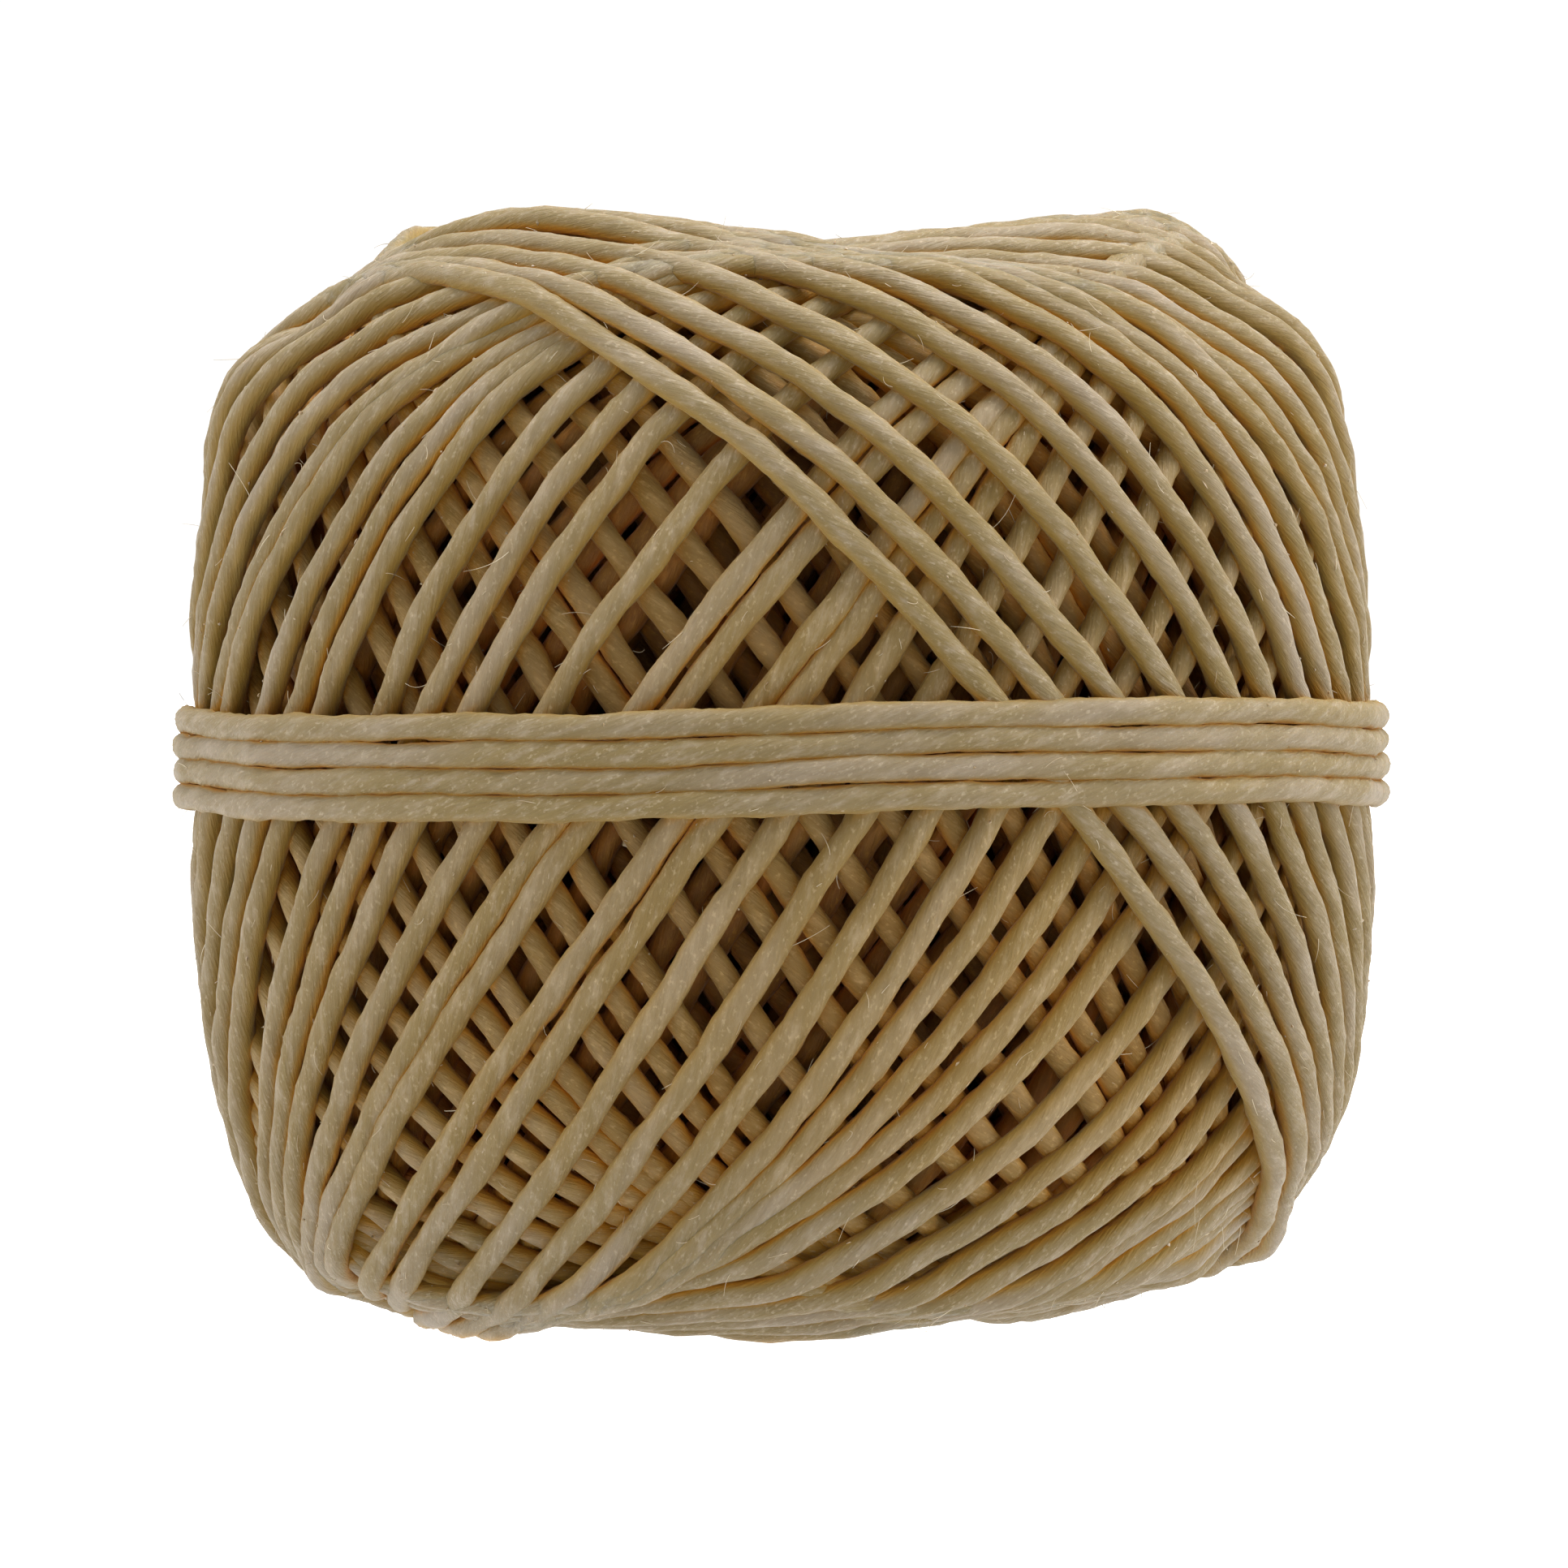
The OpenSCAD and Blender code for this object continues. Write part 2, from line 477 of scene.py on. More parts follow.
def between(start, start_heading, end, end_heading, count):
    """A smooth curve from one point to another that leaves and arrives in those directions."""
    t = np.linspace(0, 1, count)[:, None]
    reach = math.dist(start, end)
    curve = (2 * t ** 3 - 3 * t ** 2 + 1) * start + (3 * t ** 2 - 2 * t ** 3) * end
    curve = curve + (t ** 3 - 2 * t ** 2 + t) * reach * np.asarray(start_heading)
    return curve + (t ** 3 - t ** 2) * reach * np.asarray(end_heading)


# ---------------------------------------------------------------- thread meshes
PLY_PITCH = 9.0             # length of one full twist of the three plies, a Z twist
PLIES = 3
PLY_DEPTH = 0.035           # groove between two plies, as a share of the thread's radius
LUMPS = 0.034
SLUBS = 0.04                # thick and thin places
SLUB_WAVES = (3.3, 5.3, 9.1, 17.0, 31.0)
SQUASH = 0.05               # how much flatter than round the thread lies
SQUASH_WAVES = (4.1, 7.7, 13.0)
TIP = 0.2                   # how far the closed end of a piece stands out


def mesh_object(name, points, quads, triangles, material):
    """An object of smooth quads and flat triangles. Points are in metres."""
    mesh = bpy.data.meshes.new(name)
    mesh.vertices.add(len(points))
    mesh.vertices.foreach_set("co", points.astype(np.float32).ravel())
    corners = np.concatenate((quads.ravel(), triangles.ravel())).astype(np.int32)
    sizes = np.concatenate((np.full(len(quads), 4), np.full(len(triangles), 3)))
    mesh.loops.add(len(corners))
    mesh.loops.foreach_set("vertex_index", corners)
    mesh.polygons.add(len(sizes))
    starts = np.concatenate(([0], np.cumsum(sizes)[:-1])).astype(np.int32)
    mesh.polygons.foreach_set("loop_start", starts)
    mesh.polygons.foreach_set("use_smooth", sizes == 4)
    mesh.update(calc_edges=True)
    mesh.validate()
    mesh.materials.append(material)
    thing = bpy.data.objects.new(name, mesh)
    bpy.context.collection.objects.link(thing)
    return thing


def store_values(piece, name, kind, values):
    """Keeps a value for each point of the mesh, for its material to read."""
    store = piece.data.attributes.new(name, kind, "POINT")
    field = "vector" if kind == "FLOAT_VECTOR" else "value"
    store.data.foreach_set(field, np.asarray(values, dtype=np.float32).ravel())


def tube_faces(rings, sides):
    """Quads round a tube of rings, and triangles to a tip point at each end."""
    ring = np.arange(rings - 1)[:, None] * sides
    side = np.arange(sides)
    after = (side + 1) % sides
    quads = np.stack(
        (ring + side, ring + after, ring + sides + after, ring + sides + side), -1
    ).reshape(-1, 4)
    tip = rings * sides
    last = (rings - 1) * sides
    start_cap = np.stack((after, side, np.full(sides, tip)), -1)
    end_cap = np.stack((last + side, last + after, np.full(sides, tip + 1)), -1)
    return quads, np.concatenate((start_cap, end_cap))


def thread_piece(name, line, sides, material, nodes, start_at, seed, depth=None):
    """A length of thread along a line of points: plies that twist, lumps and a closed end each
    way. start_at is how far along the whole thread it begins."""
    count = len(line)
    chance = np.random.default_rng(seed)
    heading, outward, sideways = axes_along(line)
    along = start_at + run_length(line)
    around = FULL_TURN * np.arange(sides) / sides
    in_ply = around[None, :] + FULL_TURN * along[:, None] / PLY_PITCH
    lumps = chance.normal(0, LUMPS, (count, sides))
    lumps = (lumps + np.roll(lumps, 1, axis=1) + np.roll(lumps, 1, axis=0)) / math.sqrt(3)
    from_end = np.minimum(np.arange(count), np.arange(count)[::-1])
    lumps = lumps * smooth_step(from_end / 4)[:, None]
    thickness = 1 + SLUBS * waver(along, SLUB_WAVES, 51)
    radius = THREAD_R * (thickness[:, None] + PLY_DEPTH * np.cos(PLIES * in_ply) + lumps)
    squash = 1 - SQUASH * (1 + waver(along, SQUASH_WAVES, 52))
    up = radius * np.cos(around) * squash[:, None]
    across = radius * np.sin(around) * (2 - squash)[:, None]
    rings = line[:, None, :] + up[:, :, None] * outward[:, None, :]
    rings = rings + across[:, :, None] * sideways[:, None, :]
    tips = np.stack((line[0] - heading[0] * TIP, line[-1] + heading[-1] * TIP))
    points = np.concatenate((rings.reshape(-1, 3), tips))
    piece = mesh_object(name, to_frame(points), *tube_faces(count, sides), material)
    straight = np.stack((np.cos(in_ply), np.sin(in_ply), np.repeat(along[:, None], sides, 1)), -1)
    straight[:, :, :2] *= THREAD_R
    straight = np.concatenate((straight.reshape(-1, 3), [[0, 0, along[0]], [0, 0, along[-1]]]))
    store_values(piece, "along_thread", "FLOAT_VECTOR", straight)
    depth = np.zeros(count) if depth is None else depth
    store_values(piece, "depth", "FLOAT", np.append(np.repeat(depth, sides), [depth[0], depth[-1]]))
    # how far each point faces out from the ball: the mask of the painted side shade and of the
    # painted highlight
    store_values(piece, "outer", "FLOAT", np.append(np.tile(np.cos(around), count), [0.0, 0.0]))
    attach(piece, "root")
    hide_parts(*nodes)
    return piece


# ---------------------------------------------------------------- materials
def node_of(tree, kind, **values):
    made = tree.nodes.new(kind)
    for key, value in values.items():
        setattr(made, key, value)
    return made


def noise(tree, vector, scale, detail=2.0, rough=0.5):
    made = node_of(tree, "ShaderNodeTexNoise")
    made.inputs["Scale"].default_value = scale
    made.inputs["Detail"].default_value = detail
    made.inputs["Roughness"].default_value = rough
    tree.links.new(vector, made.inputs["Vector"])
    return made.outputs["Fac"]


def ramp(tree, value, stops):
    """A colour ramp through (position, colour) stops."""
    made = node_of(tree, "ShaderNodeValToRGB")
    band = made.color_ramp
    while len(band.elements) < len(stops):
        band.elements.new(0.5)
    for element, (place, colour) in zip(band.elements, stops):
        element.position = place
        element.color = (*colour, 1.0)
    tree.links.new(value, made.inputs["Fac"])
    return made.outputs["Color"]


def mixed(tree, share, first, second, blend="MIX"):
    made = node_of(tree, "ShaderNodeMix", data_type="RGBA", blend_type=blend)
    for value, socket in ((share, 0), (first, 6), (second, 7)):
        if isinstance(value, bpy.types.NodeSocket):
            tree.links.new(value, made.inputs[socket])
        elif isinstance(value, tuple):
            made.inputs[socket].default_value = (*value, 1.0)
        else:
            made.inputs[socket].default_value = value
    return made.outputs[2]


def scaled_vector(tree, vector, factors):
    """A vector with each part times its factor: how fine a pattern is across and along."""
    made = node_of(tree, "ShaderNodeVectorMath", operation="MULTIPLY")
    made.inputs[1].default_value = factors
    tree.links.new(vector, made.inputs[0])
    return made.outputs["Vector"]


def maths(tree, operation, first, second):
    made = node_of(tree, "ShaderNodeMath", operation=operation)
    for value, socket in ((first, 0), (second, 1)):
        if isinstance(value, bpy.types.NodeSocket):
            tree.links.new(value, made.inputs[socket])
        else:
            made.inputs[socket].default_value = value
    return made.outputs[0]


def between_values(tree, value, low, high):
    """0 below low, 1 above high, and a smooth rise between them."""
    made = node_of(tree, "ShaderNodeMapRange", interpolation_type="SMOOTHSTEP")
    made.inputs["From Min"].default_value = low
    made.inputs["From Max"].default_value = high
    tree.links.new(value, made.inputs["Value"])
    return made.outputs["Result"]


def attribute(tree, name, output="Fac"):
    return node_of(tree, "ShaderNodeAttribute", attribute_name=name).outputs[output]


def openness(tree):
    """How open the surface is to its surroundings: 1 on a crest and 0 in a gap between turns. It
    masks the painted shade in the gaps.
    """
    made = node_of(tree, "ShaderNodeAmbientOcclusion", samples=4)
    made.inputs["Distance"].default_value = 1.2 * THREAD_D * MM
    return made.outputs["AO"]


STRAW = (                   # the thread's own colour, which drifts along it
    (0.36, (0.135, 0.096, 0.034)),
    (0.50, (0.141, 0.104, 0.047)),
    (0.64, (0.166, 0.130, 0.085)),
)
FIBRE_STREAKS = ((0.30, (0.80, 0.77, 0.70)), (0.62, (1.06, 1.06, 1.06)))
BLOOM_AND_HIGHLIGHT = (0.225, 0.182, 0.127)        # dull wax bloom and painted highlight on the crests
SPECKS = (0.36, 0.30, 0.215)         # bleached bits of fibre
SIDE_SHADE_TINT = (1.24, 1.04, 0.42)       # painted shade down the thread's sides, away from the ball's outside: a deeper gold
GAP_SHADE_TINT = (2.30, 1.52, 0.15)        # painted shade and warm bounce light in the gaps between turns
DEPTH_SHADE_TINTS = (             # painted shade: turns darken and redden with their depth in the ball, where less light reaches
    (0.24, (1.00, 1.00, 1.00)),
    (0.34, (1.06, 0.99, 0.82)),
    (0.46, (1.06, 0.93, 0.64)),
    (0.60, (0.98, 0.74, 0.34)),
    (0.78, (0.80, 0.44, 0.08)),
)


def thread_material():
    """Waxed plant-fibre thread. Its pattern runs in the thread's own space: across it in
    millimetres, and along it in millimetres from the tube, so fibres follow the twist. Painted shade
    tints the thread's sides a deeper gold, the outer side gets pale patches that are partly dull wax
    and partly painted highlight, and painted shade with warm bounce light fills the gaps between
    turns and deepens with a turn's depth in the ball."""
    made = bpy.data.materials.new("waxed_thread")
    made.use_nodes = True
    tree = made.node_tree
    shader = tree.nodes["Principled BSDF"]
    space = attribute(tree, "along_thread", "Vector")
    # 1 where the surface faces out from the ball, 0 down the thread's sides: masks the painted shade
    # and highlight
    crest = between_values(tree, attribute(tree, "outer"), 0.0, 0.95)

    batches = noise(tree, scaled_vector(tree, space, (0.2, 0.2, 0.05)), 1.0, 3.0)
    colour = ramp(tree, batches, STRAW)
    fibres = noise(tree, scaled_vector(tree, space, (9.0, 9.0, 0.8)), 1.0, 3.0, 0.6)
    colour = mixed(tree, 0.5, colour, ramp(tree, fibres, FIBRE_STREAKS), "MULTIPLY")
    # pale patches on the thread's outer side: partly dull wax bloom, partly painted highlight
    bloom_and_highlight = noise(tree, scaled_vector(tree, space, (2.2, 2.2, 0.7)), 1.0, 4.0, 0.7)
    bloom_and_highlight = maths(tree, "MULTIPLY", between_values(tree, bloom_and_highlight, 0.44, 0.74), crest)
    colour = mixed(tree, maths(tree, "MULTIPLY", bloom_and_highlight, 0.7), colour, BLOOM_AND_HIGHLIGHT)
    # painted shade: the thread's sides tinted a deeper gold
    sides = mixed(tree, 1.0, colour, SIDE_SHADE_TINT, "MULTIPLY")
    colour = mixed(tree, crest, sides, colour)
    # painted shade and warm bounce light where the occlusion mask finds gaps between turns: red
    # rises, blue falls
    painted_gap_shade = mixed(tree, 1.0, colour, GAP_SHADE_TINT, "MULTIPLY")
    colour = mixed(tree, between_values(tree, openness(tree), 0.05, 0.66), painted_gap_shade, colour)
    specks = noise(tree, scaled_vector(tree, space, (7.0, 7.0, 4.5)), 1.0, 2.0, 0.6)
    specks = maths(tree, "MULTIPLY", between_values(tree, specks, 0.56, 0.72), crest)
    colour = mixed(tree, maths(tree, "MULTIPLY", specks, 0.32), colour, SPECKS)
    # painted shade, darker and redder with the turn's depth in the ball
    shade = ramp(tree, attribute(tree, "depth"), DEPTH_SHADE_TINTS)
    colour = mixed(tree, 1.0, colour, shade, "MULTIPLY")
    tree.links.new(colour, shader.inputs["Base Color"])

    grain = noise(tree, scaled_vector(tree, space, (14.0, 14.0, 3.0)), 1.0, 3.0, 0.6)
    rough = node_of(tree, "ShaderNodeMapRange")
    rough.inputs["To Min"].default_value = 0.45
    rough.inputs["To Max"].default_value = 0.70
    tree.links.new(grain, rough.inputs["Value"])
    tree.links.new(rough.outputs["Result"], shader.inputs["Roughness"])
    coarse = maths(tree, "MULTIPLY", fibres, 0.7)
    fine = maths(tree, "MULTIPLY", grain, 0.3)
    height = maths(tree, "ADD", coarse, fine)
    bump = node_of(tree, "ShaderNodeBump")
    bump.inputs["Strength"].default_value = 0.8
    bump.inputs["Distance"].default_value = 0.00011
    tree.links.new(height, bump.inputs["Height"])
    tree.links.new(bump.outputs["Normal"], shader.inputs["Normal"])
    shader.inputs["Specular IOR Level"].default_value = 0.16
    shader.inputs["Sheen Weight"].default_value = 0.05
    shader.inputs["Sheen Roughness"].default_value = 0.5
    shader.inputs["Subsurface Weight"].default_value = 0.30
    shader.inputs["Subsurface Radius"].default_value = (0.6, 0.35, 0.15)
    shader.inputs["Subsurface Scale"].default_value = 0.0008
    return made


def paper_material():
    """Grey-brown unprinted board, mottled with pulp and specks."""
    made = bpy.data.materials.new("core_paper")
    made.use_nodes = True
    tree = made.node_tree
    shader = tree.nodes["Principled BSDF"]
    place = node_of(tree, "ShaderNodeTexCoord").outputs["Object"]
    pulp = noise(tree, place, 900.0, 5.0, 0.6)
    colour = ramp(tree, pulp, ((0.3, (0.15, 0.112, 0.078)), (0.7, (0.23, 0.185, 0.135))))
    specks = ramp(tree, noise(tree, place, 3200.0, 1.0), ((0.66, (1, 1, 1)), (0.72, (0.6, 0.5, 0.4))))
    colour = mixed(tree, 1.0, colour, specks, "MULTIPLY")
    tree.links.new(colour, shader.inputs["Base Color"])
    bump = node_of(tree, "ShaderNodeBump")
    bump.inputs["Strength"].default_value = 0.5
    bump.inputs["Distance"].default_value = 0.00008
    tree.links.new(pulp, bump.inputs["Height"])
    tree.links.new(bump.outputs["Normal"], shader.inputs["Normal"])
    shader.inputs["Roughness"].default_value = 0.85
    return made


# ---------------------------------------------------------------- the ball
CHUNKS = (                  # turns from the outside in: (turns, point spacing, sides)
    (20, 0.40, 12),
    (20, 0.40, 12),
    (20, 0.40, 12),
    (20, 0.40, 12),
    (20, 0.40, 12),
    (40, 0.55, 10),
    (60, 0.80, 8),
    (150, 1.20, 6),
)
DEPTH_SPAN = 4.0            # how deep in the ball the depth that the painted shade reads reaches 1
COVERED_TO = 0.70           # sine of the angle above the waist up to which lower turns are hidden
OPEN_FROM = 0.82            # and from which the dished ends show them
LEAVES_AT = -4.6            # height where the last turn bends off into the tie
TIE_MIDDLE = sum(TIE_Z) / len(TIE_Z)
TIE_SQUEEZE = 0.018         # how much of its radius the ball loses under the tie
TIE_SQUEEZE_REACH = 3.2     # how far above and below the tie that fades


def make_ball(turns, material):
    """The wound turns as one length of thread, in pieces numbered from the tube outwards. Gives
    the whole line."""
    flat = turns.reshape(-1, 3)
    rising = np.flatnonzero(flat[-SAMPLES // 2:, 2] < LEAVES_AT)[-1]
    flat = flat[:len(flat) - SAMPLES // 2 + rising + 1]
    squeeze = TIE_SQUEEZE * np.exp(-((flat[:, 2] - TIE_MIDDLE) / TIE_SQUEEZE_REACH) ** 2)
    flat = flat * np.stack((1 - squeeze, 1 - squeeze, np.ones(len(flat))), -1)
    total = run_length(flat)
    first = len(turns)
    for number, (count, spacing, sides) in enumerate(CHUNKS):
        first -= count
        rows = slice(first * SAMPLES, min((first + count) * SAMPLES + 1, len(flat)))
        line = swayed(respaced(flat[rows], spacing), total[rows][0])
        below = outline(unit_rows(line), 1.0) - np.linalg.norm(line, axis=1)
        from_waist = np.abs(unit_rows(line)[:, 2])
        covered = 1 - smooth_step((from_waist - COVERED_TO) / (OPEN_FROM - COVERED_TO))
        # the depth that the material's painted shade reads, none where the dished ends show lower
        # turns
        depth = covered * np.clip(below / DEPTH_SPAN, 0, 1)
        line = settled(line)
        piece = thread_piece(
            f"wound_thread_{len(CHUNKS) - number}", line, sides, material, ["wound_thread"],
            total[rows][0], seed=10 + number, depth=depth,
        )
    return settled(flat)


# ---------------------------------------------------------------- the tie and its tucked end
TIE_SPACING = 0.30
TIE_SIDES = 18
TIE_FROM = math.radians(211)       # azimuth where the thread has settled in the lowest lane
LANE_CHANGE = math.radians(204)    # azimuth at which every turn climbs to the lane above
LANE_CHANGE_HALF = math.radians(11)
TUCK_FROM = math.radians(170)      # azimuth where the last turn bends down
TUCK = math.radians(181.5)         # azimuth where it passes under the other turns
TUCK_LIFT = 0.80                   # how far they're lifted there
TUCK_HALF = math.radians(1.3)      # half of the way round over which they are
TIE_BITE = 0.06                    # how far the tie bites into the ball
WAIST_RIPPLES = ((7, 1.0), (12, 0.0), (19, 2.0))   # waves of the waist: (count round it, phase)
WAIST_RIPPLE = 0.09
BAND_WAVES = ((0.29, 1), (0.17, 3), (0.05, 8))     # the band's course: (height, count round it)
LANE_WANDER = 0.05                 # how far each turn wanders from its lane
LAST_REACH = math.radians(40)      # how far before its tuck the last turn lies close to the ball
TAIL_ROUTE = [                     # from the ball's middle, in metres
    (-0.0008, 0.0232, -0.0018), (-0.0009, 0.0234, -0.0032), (-0.0006, 0.0234, -0.0050),
    (0.0002, 0.0233, -0.0070), (0.0014, 0.0231, -0.0090), (0.0028, 0.0228, -0.0108),
    (0.0044, 0.0223, -0.0122), (0.0060, 0.0217, -0.0132),
]


def round_waist(azimuth, radius, height):
    return np.stack((radius * np.sin(azimuth), -radius * np.cos(azimuth), height), -1)


def lane_height(azimuth):
    """Height of the tie after that much of a way round, from the lowest lane to the top one."""
    height = np.full(len(azimuth), TIE_Z[3])
    for change in (1, 2, 3):
        past = azimuth - LANE_CHANGE - change * FULL_TURN + LANE_CHANGE_HALF
        climb = TIE_Z[3 - change] - TIE_Z[4 - change]
        height = height + climb * smooth_step(past / (2 * LANE_CHANGE_HALF))
    return height


def tie_ring():
    """Radius of the tie at every half degree: thread pulled tight over the ball's uneven waist
    and over its own end."""
    azimuth = np.radians(0.5 * np.arange(720))
    ripples = sum(np.sin(count * azimuth + phase) for count, phase in WAIST_RIPPLES)
    ring = TIE_R - TIE_BITE + WAIST_RIPPLE * ripples
    ring[np.abs(azimuth - TUCK) < TUCK_HALF] = TIE_R + TUCK_LIFT
    return azimuth, smoothed(pulled_tight(ring), 2.0)


def through(points, at):
    """A point on the smooth curve through the given ones, which passes the first at 0, the second
    at 1 and so on."""
    leg = min(int(at), len(points) - 2)
    t = at - leg
    slopes = np.gradient(points, axis=0)
    curve = (2 * t ** 3 - 3 * t ** 2 + 1) * points[leg] + (3 * t ** 2 - 2 * t ** 3) * points[leg + 1]
    return curve + (t ** 3 - 2 * t ** 2 + t) * slopes[leg] + (t ** 3 - t ** 2) * slopes[leg + 1]


def tie_turn_line(turn, azimuths, radii):
    """The line of one turn, 0 for the lowest. The last one stops where it bends down."""
    last = turn == 3
    start = TIE_FROM + turn * FULL_TURN
    stop = TUCK_FROM + 4 * FULL_TURN if last else start + FULL_TURN
    azimuth = np.linspace(start, stop, 640 if last else 721)
    radius = np.interp(azimuth % FULL_TURN, azimuths, radii)
    if last:
        radius = np.where(azimuth > stop - LAST_REACH, TIE_R, radius)
    ride = LANE_WANDER * waver(azimuth * TIE_R, (11.0, 18.0, 33.0), 60)
    shared = sum(wave * np.sin(count * azimuth) for wave, count in BAND_WAVES)
    own = LANE_WANDER * waver(azimuth * TIE_R, (9.0, 17.0, 31.0, 47.0), 61)
    return round_waist(azimuth, radius + ride, lane_height(azimuth) + shared + own)


def tie_lines(ball_end, ball_heading):
    """Four lines, one for each turn of the tie, as they follow one another. The first starts at
    the ball's last turn and the last ends in the tuck and the hanging end."""
    azimuths, radii = tie_ring()
    lines = [tie_turn_line(turn, azimuths, radii) for turn in range(4)]
    radius = radii[int(TIE_FROM / azimuths[1])]
    settled_at = round_waist(np.array([TIE_FROM]), radius, np.array([TIE_Z[3]]))[0]
    forward = np.array((math.cos(TIE_FROM), math.sin(TIE_FROM), 0.0))
    lead = between(ball_end, ball_heading, settled_at, forward, 24)[:-1]
    lines[0] = np.concatenate((lead, lines[0]))
    route = np.array(TAIL_ROUTE) / MM
    onwards = unit_rows(lines[3][-1:] - lines[3][-2:-1])[0]
    down = unit_rows(route[1:2] - route[0:1])[0]
    tuck = between(lines[3][-1], onwards, route[0], 1.2 * down, 30)
    tail = [through(route, at) for at in np.linspace(0, len(route) - 1, 60)]
    lines[3] = np.concatenate((lines[3], tuck[1:-1], tail))
    return lines


def make_tie(ball_line, material):
    """Four turns round the waist, from the lowest up, and the cut end tucked under them. Gives
    the whole line."""
    start_at = run_length(ball_line)[-1]
    heading = unit_rows(ball_line[-1:] - ball_line[-2:-1])[0]
    lines = tie_lines(ball_line[-1], heading)
    for number, raw in zip((4, 3, 2, 1), lines):
        line = respaced(raw, TIE_SPACING)
        nodes = [f"tie_turn_{number}"] if number > 1 else ["tie_turn_1", "thread_tail"]
        piece = thread_piece(
            f"tie_turn_{number}_thread", line, TIE_SIDES, material, nodes, start_at,
            seed=30 + number,
        )
        start_at += run_length(line)[-1]
    return np.concatenate(lines)


# ---------------------------------------------------------------- loose fibres and wax
BALL_HAIRS = 3200
BALL_CRUMBS = 2200
TIE_SPOTS = 60              # hairs, and as many crumbs, on the tie
OUTER_SHARE = 0.22          # share of the ball's thread that can be seen from outside
SPOT_SPREAD = 1.7           # how far round from the thread's outer side a spot may be, in radians
SPOT_DEPTH = 0.97           # how far out a spot is, as a share of the thread's radius
HAIR_R = 0.019
HAIR_STEPS = 7
HAIR_LEAST = 0.25
HAIR_MORE = 0.35            # how much longer than that a hair is, on average
HAIR_ROOT = 0.05            # how deep it starts
HAIR_LEAN = (0.15, 0.9)     # how far it leans out from the thread, at least and at most
HAIR_SWERVE = 0.35          # how far it swerves to a side
HAIR_CURL = 0.5
HAIR_DROOP = 0.35           # how far it curls back towards the thread
HAIR_BEND = 0.6             # how much of its curl shows by its tip
HAIR_SIDES = 3
HAIR_TAPER = 0.6            # share of its thickness that a hair loses by its tip
CRUMB_FACES = np.array((    # of points at the ends of three crossed arms
    (0, 2, 4), (2, 1, 4), (1, 3, 4), (3, 0, 4), (2, 0, 5), (1, 2, 5), (3, 1, 5), (0, 3, 5),
))
CRUMB_LEAST = 0.03
CRUMB_MORE = 0.02
CRUMB_MOST = 0.12
CRUMB_STRETCH = 1.5         # how much longer a crumb is along the thread


def spots_on(line, share_of_line, count, chance):
    """Random places on the thread's outer side: points on its surface, the way along it there and
    the way out from it. Only the last share_of_line of the line is used."""
    _, outward, sideways = axes_along(line)
    pick = chance.integers(int(len(line) * (1 - share_of_line)), len(line) - 2, count)
    turn = chance.uniform(-SPOT_SPREAD, SPOT_SPREAD, count)[:, None]
    out = np.cos(turn) * outward[pick] + np.sin(turn) * sideways[pick]
    return line[pick] + SPOT_DEPTH * THREAD_R * out, unit_rows(line[pick + 1] - line[pick]), out


def hair(start, along, out, chance):
    """Rings of points along one thin curling hair, and a tip at each end."""
    length = HAIR_LEAST + chance.exponential(HAIR_MORE)
    side = np.cross(along, out)
    lean = chance.uniform(*HAIR_LEAN)
    aim = along * chance.choice((-1, 1)) + lean * out + chance.normal(0, HAIR_SWERVE) * side
    aim = aim / np.linalg.norm(aim)
    curl = chance.normal(0, HAIR_CURL, 3) - HAIR_DROOP * out
    t = np.linspace(0, 1, HAIR_STEPS)[:, None]
    middle = start - HAIR_ROOT * out + length * (t * aim + t * t * curl * HAIR_BEND)
    _, up, across = axes_along(middle)
    radius = HAIR_R * (1 - HAIR_TAPER * t)
    corners = FULL_TURN * np.arange(HAIR_SIDES) / HAIR_SIDES
    ring = middle[:, None, :] + radius[:, :, None] * (
        np.cos(corners)[None, :, None] * up[:, None, :]
        + np.sin(corners)[None, :, None] * across[:, None, :]
    )
    return np.concatenate((ring.reshape(-1, 3), middle[:1], middle[-1:]))


def crumb(start, along, out, chance):
    """Six points at the ends of three crossed arms, none of quite the same length."""
    size = np.minimum(CRUMB_LEAST + chance.exponential(CRUMB_MORE, 3), CRUMB_MOST)
    side = np.cross(along, out)
    arms = np.stack((along * size[0] * CRUMB_STRETCH, side * size[1], out * size[2]))
    grain = np.concatenate((arms[:1], -arms[:1], arms[1:2], -arms[1:2], arms[2:], -arms[2:]))
    return start + grain * chance.uniform(0.7, 1.3, (6, 1))


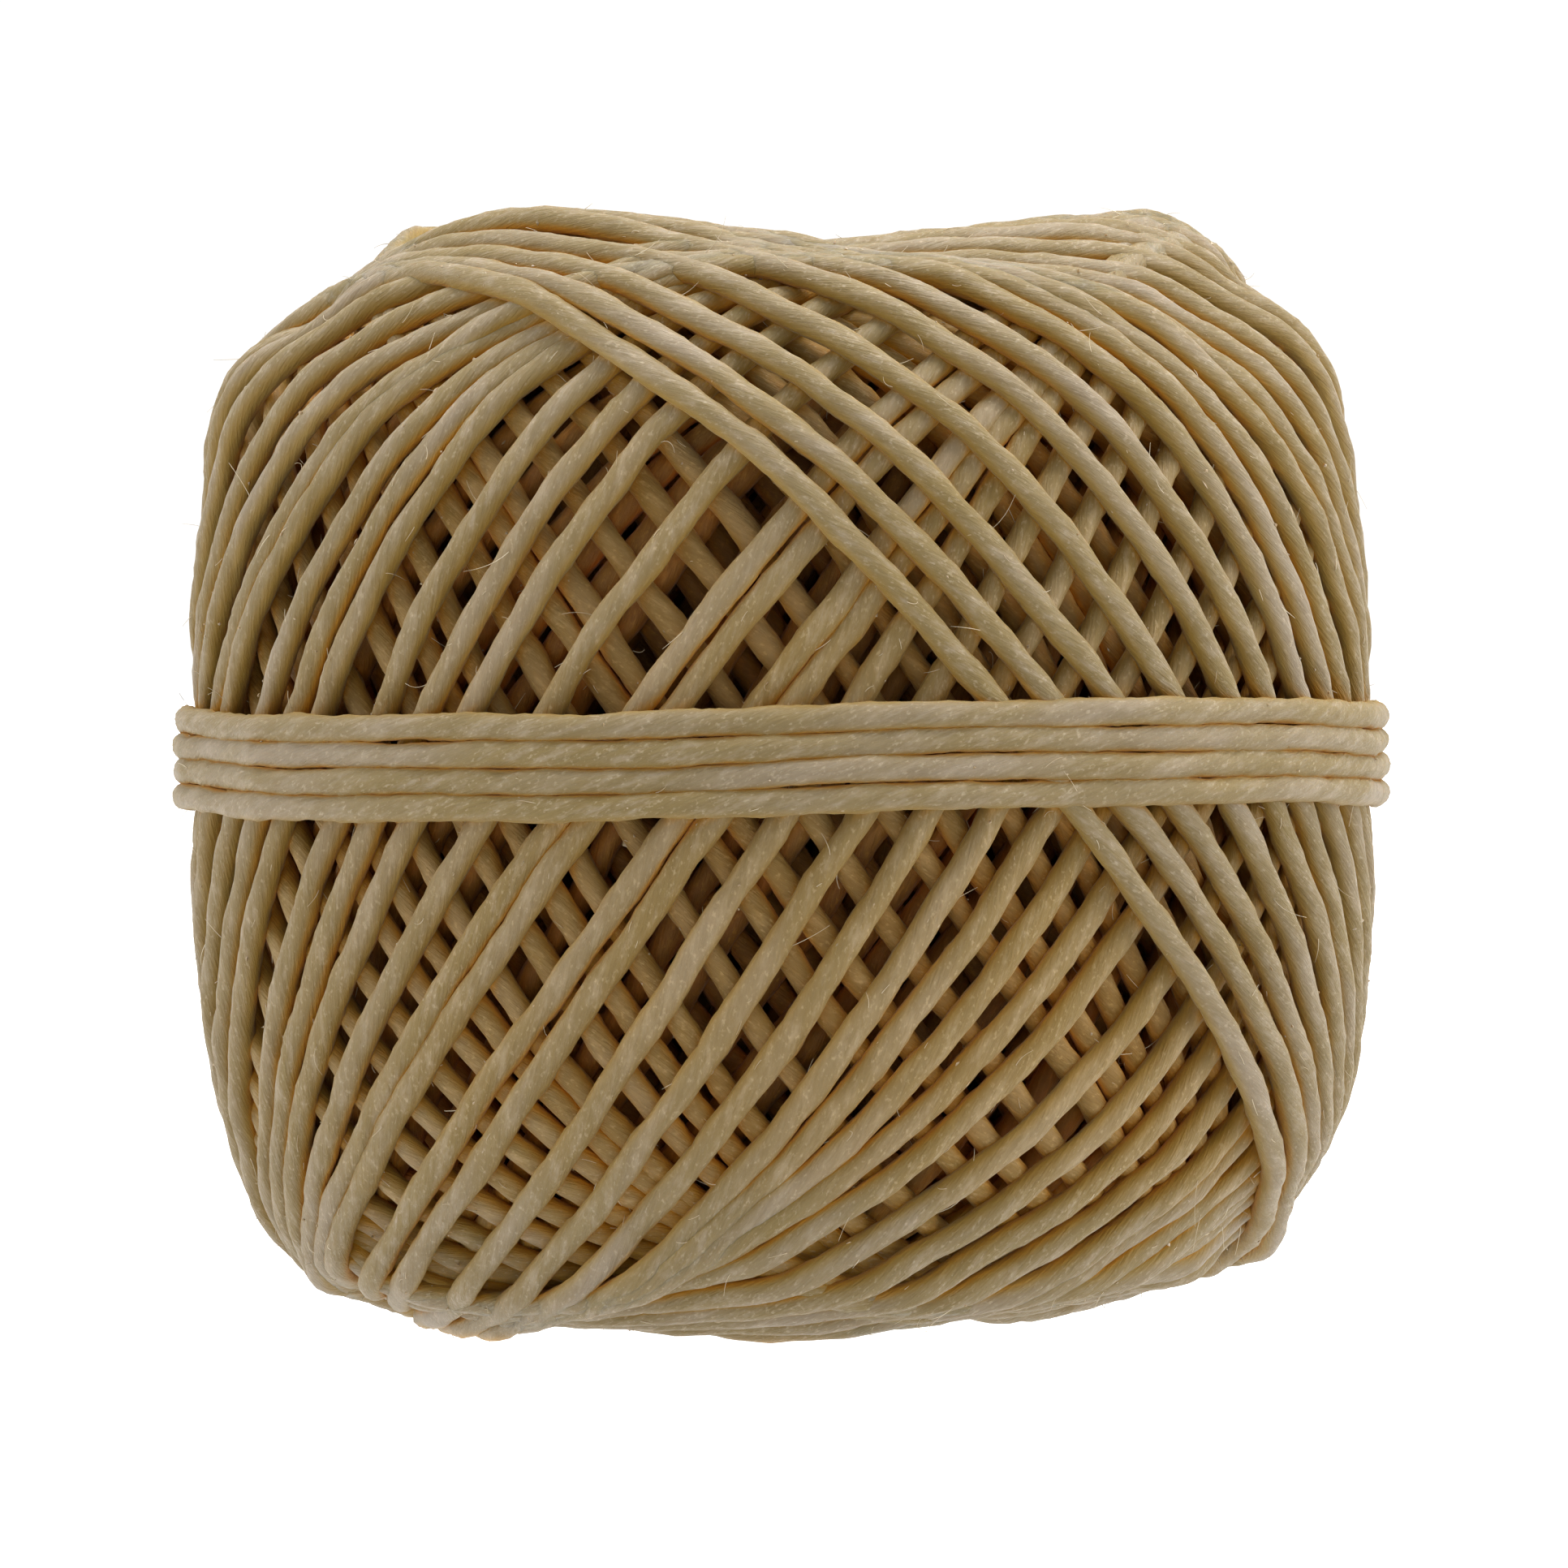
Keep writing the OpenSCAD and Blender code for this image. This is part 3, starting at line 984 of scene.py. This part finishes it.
def scatter(name, make_points, faces, lines, material, seed):
    """One piece made of many small things on the thread. faces are one thing's quads and
    triangles, and lines are (line, share of it, count)."""
    chance = np.random.default_rng(seed)
    points = []
    for line, share_of_line, count in lines:
        for start, along, out in zip(*spots_on(line, share_of_line, count, chance)):
            points.append(make_points(start, along, out, chance))
    firsts = len(points[0]) * np.arange(len(points))[:, None, None]
    quads, triangles = (
        (one[None, :, :] + firsts).reshape(-1, one.shape[1]) for one in faces
    )
    piece = mesh_object(name, to_frame(np.concatenate(points)), quads, triangles, material)
    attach(piece, "root")


def fibre_material():
    """Bleached ends of plant fibre."""
    made = bpy.data.materials.new("loose_fibre")
    made.use_nodes = True
    tree = made.node_tree
    shader = tree.nodes["Principled BSDF"]
    place = node_of(tree, "ShaderNodeTexCoord").outputs["Object"]
    tint = noise(tree, place, 400.0)
    colour = ramp(tree, tint, ((0.35, (0.30, 0.235, 0.14)), (0.65, (0.48, 0.41, 0.29))))
    tree.links.new(colour, shader.inputs["Base Color"])
    shader.inputs["Roughness"].default_value = 0.55
    return made


def wax_material():
    """Crumbs of wax, from cream to amber."""
    made = bpy.data.materials.new("wax")
    made.use_nodes = True
    tree = made.node_tree
    shader = tree.nodes["Principled BSDF"]
    place = node_of(tree, "ShaderNodeTexCoord").outputs["Object"]
    tint = noise(tree, place, 500.0)
    colour = ramp(tree, tint, ((0.35, (0.15, 0.10, 0.04)), (0.62, (0.27, 0.21, 0.13))))
    tree.links.new(colour, shader.inputs["Base Color"])
    shader.inputs["Roughness"].default_value = 0.38
    shader.inputs["Subsurface Weight"].default_value = 0.3
    shader.inputs["Subsurface Radius"].default_value = (0.6, 0.4, 0.2)
    shader.inputs["Subsurface Scale"].default_value = 0.0003
    return made


make_camera()
make_studio()
thread_look = thread_material()
ball_line = make_ball(wind(), thread_look)
tie_line = make_tie(ball_line, thread_look)
scatter(
    "loose_fibres", hair, tube_faces(HAIR_STEPS, HAIR_SIDES),
    ((ball_line, OUTER_SHARE, BALL_HAIRS), (tie_line, 1.0, TIE_SPOTS)), fibre_material(), seed=7,
)
scatter(
    "wax_crumbs", crumb, (np.zeros((0, 4), dtype=int), CRUMB_FACES),
    ((ball_line, OUTER_SHARE, BALL_CRUMBS), (tie_line, 1.0, TIE_SPOTS)), wax_material(), seed=8,
)
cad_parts["core_tube"].data.materials[0] = paper_material()
